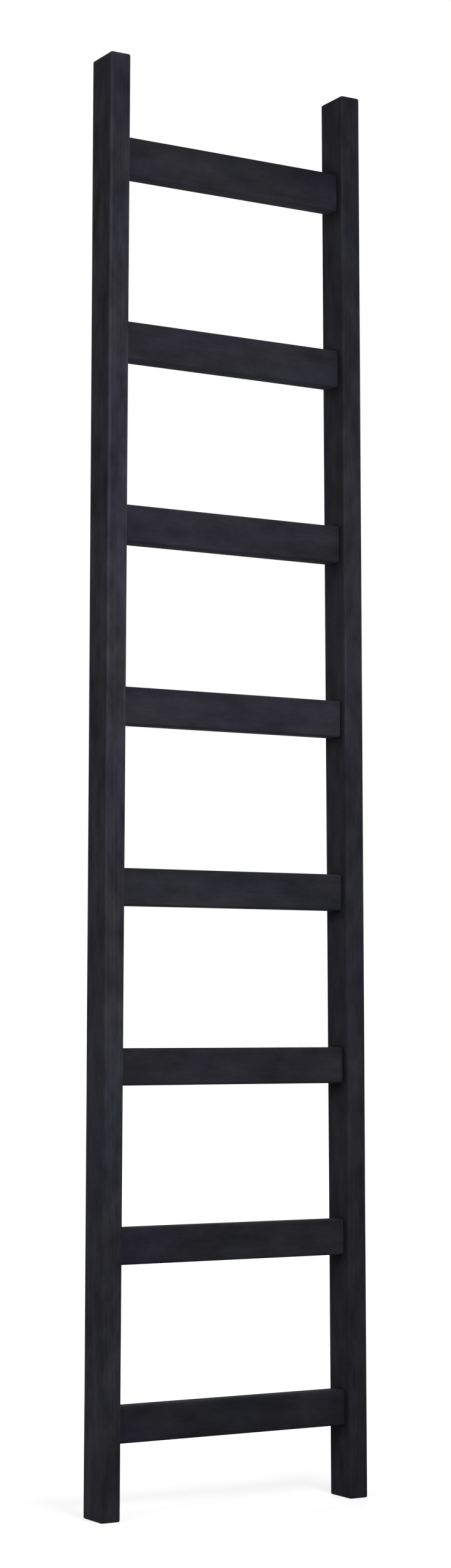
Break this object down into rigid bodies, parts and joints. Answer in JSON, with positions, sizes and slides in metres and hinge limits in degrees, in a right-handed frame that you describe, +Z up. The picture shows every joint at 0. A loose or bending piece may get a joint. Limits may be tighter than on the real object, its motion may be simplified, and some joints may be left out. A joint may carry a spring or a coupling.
{
  "type": "decorative ladder",
  "caption": "Tall decorative ladder of dark stained wood that narrows towards the top: flat rungs on edge between slim stiles with softly rounded edges, for hanging blankets or towels.",
  "frame": {"origin": "on the floor, midway between the feet and midway through the depth of the stiles", "axes": "+Z up along the ladder, +X to the right stile as seen from the front, +Y from the front to the wall behind"},
  "size_m": [0.44, 0.055, 2],
  "materials": {
    "stained_wood": "near-black stain with a faint blue-violet cast, matt, grain just showing",
    "dowel_wood": "plain turned beech, unfinished"
  },
  "bodies": {
    "root": {"left_stile": "stained_wood", "right_stile": "stained_wood", "rung_1": "stained_wood", "rung_2": "stained_wood", "rung_3": "stained_wood", "rung_4": "stained_wood", "rung_5": "stained_wood", "rung_6": "stained_wood", "rung_7": "stained_wood", "rung_8": "stained_wood", "left_dowels": "dowel_wood", "right_dowels": "dowel_wood"}
  },
  "joints": []
}
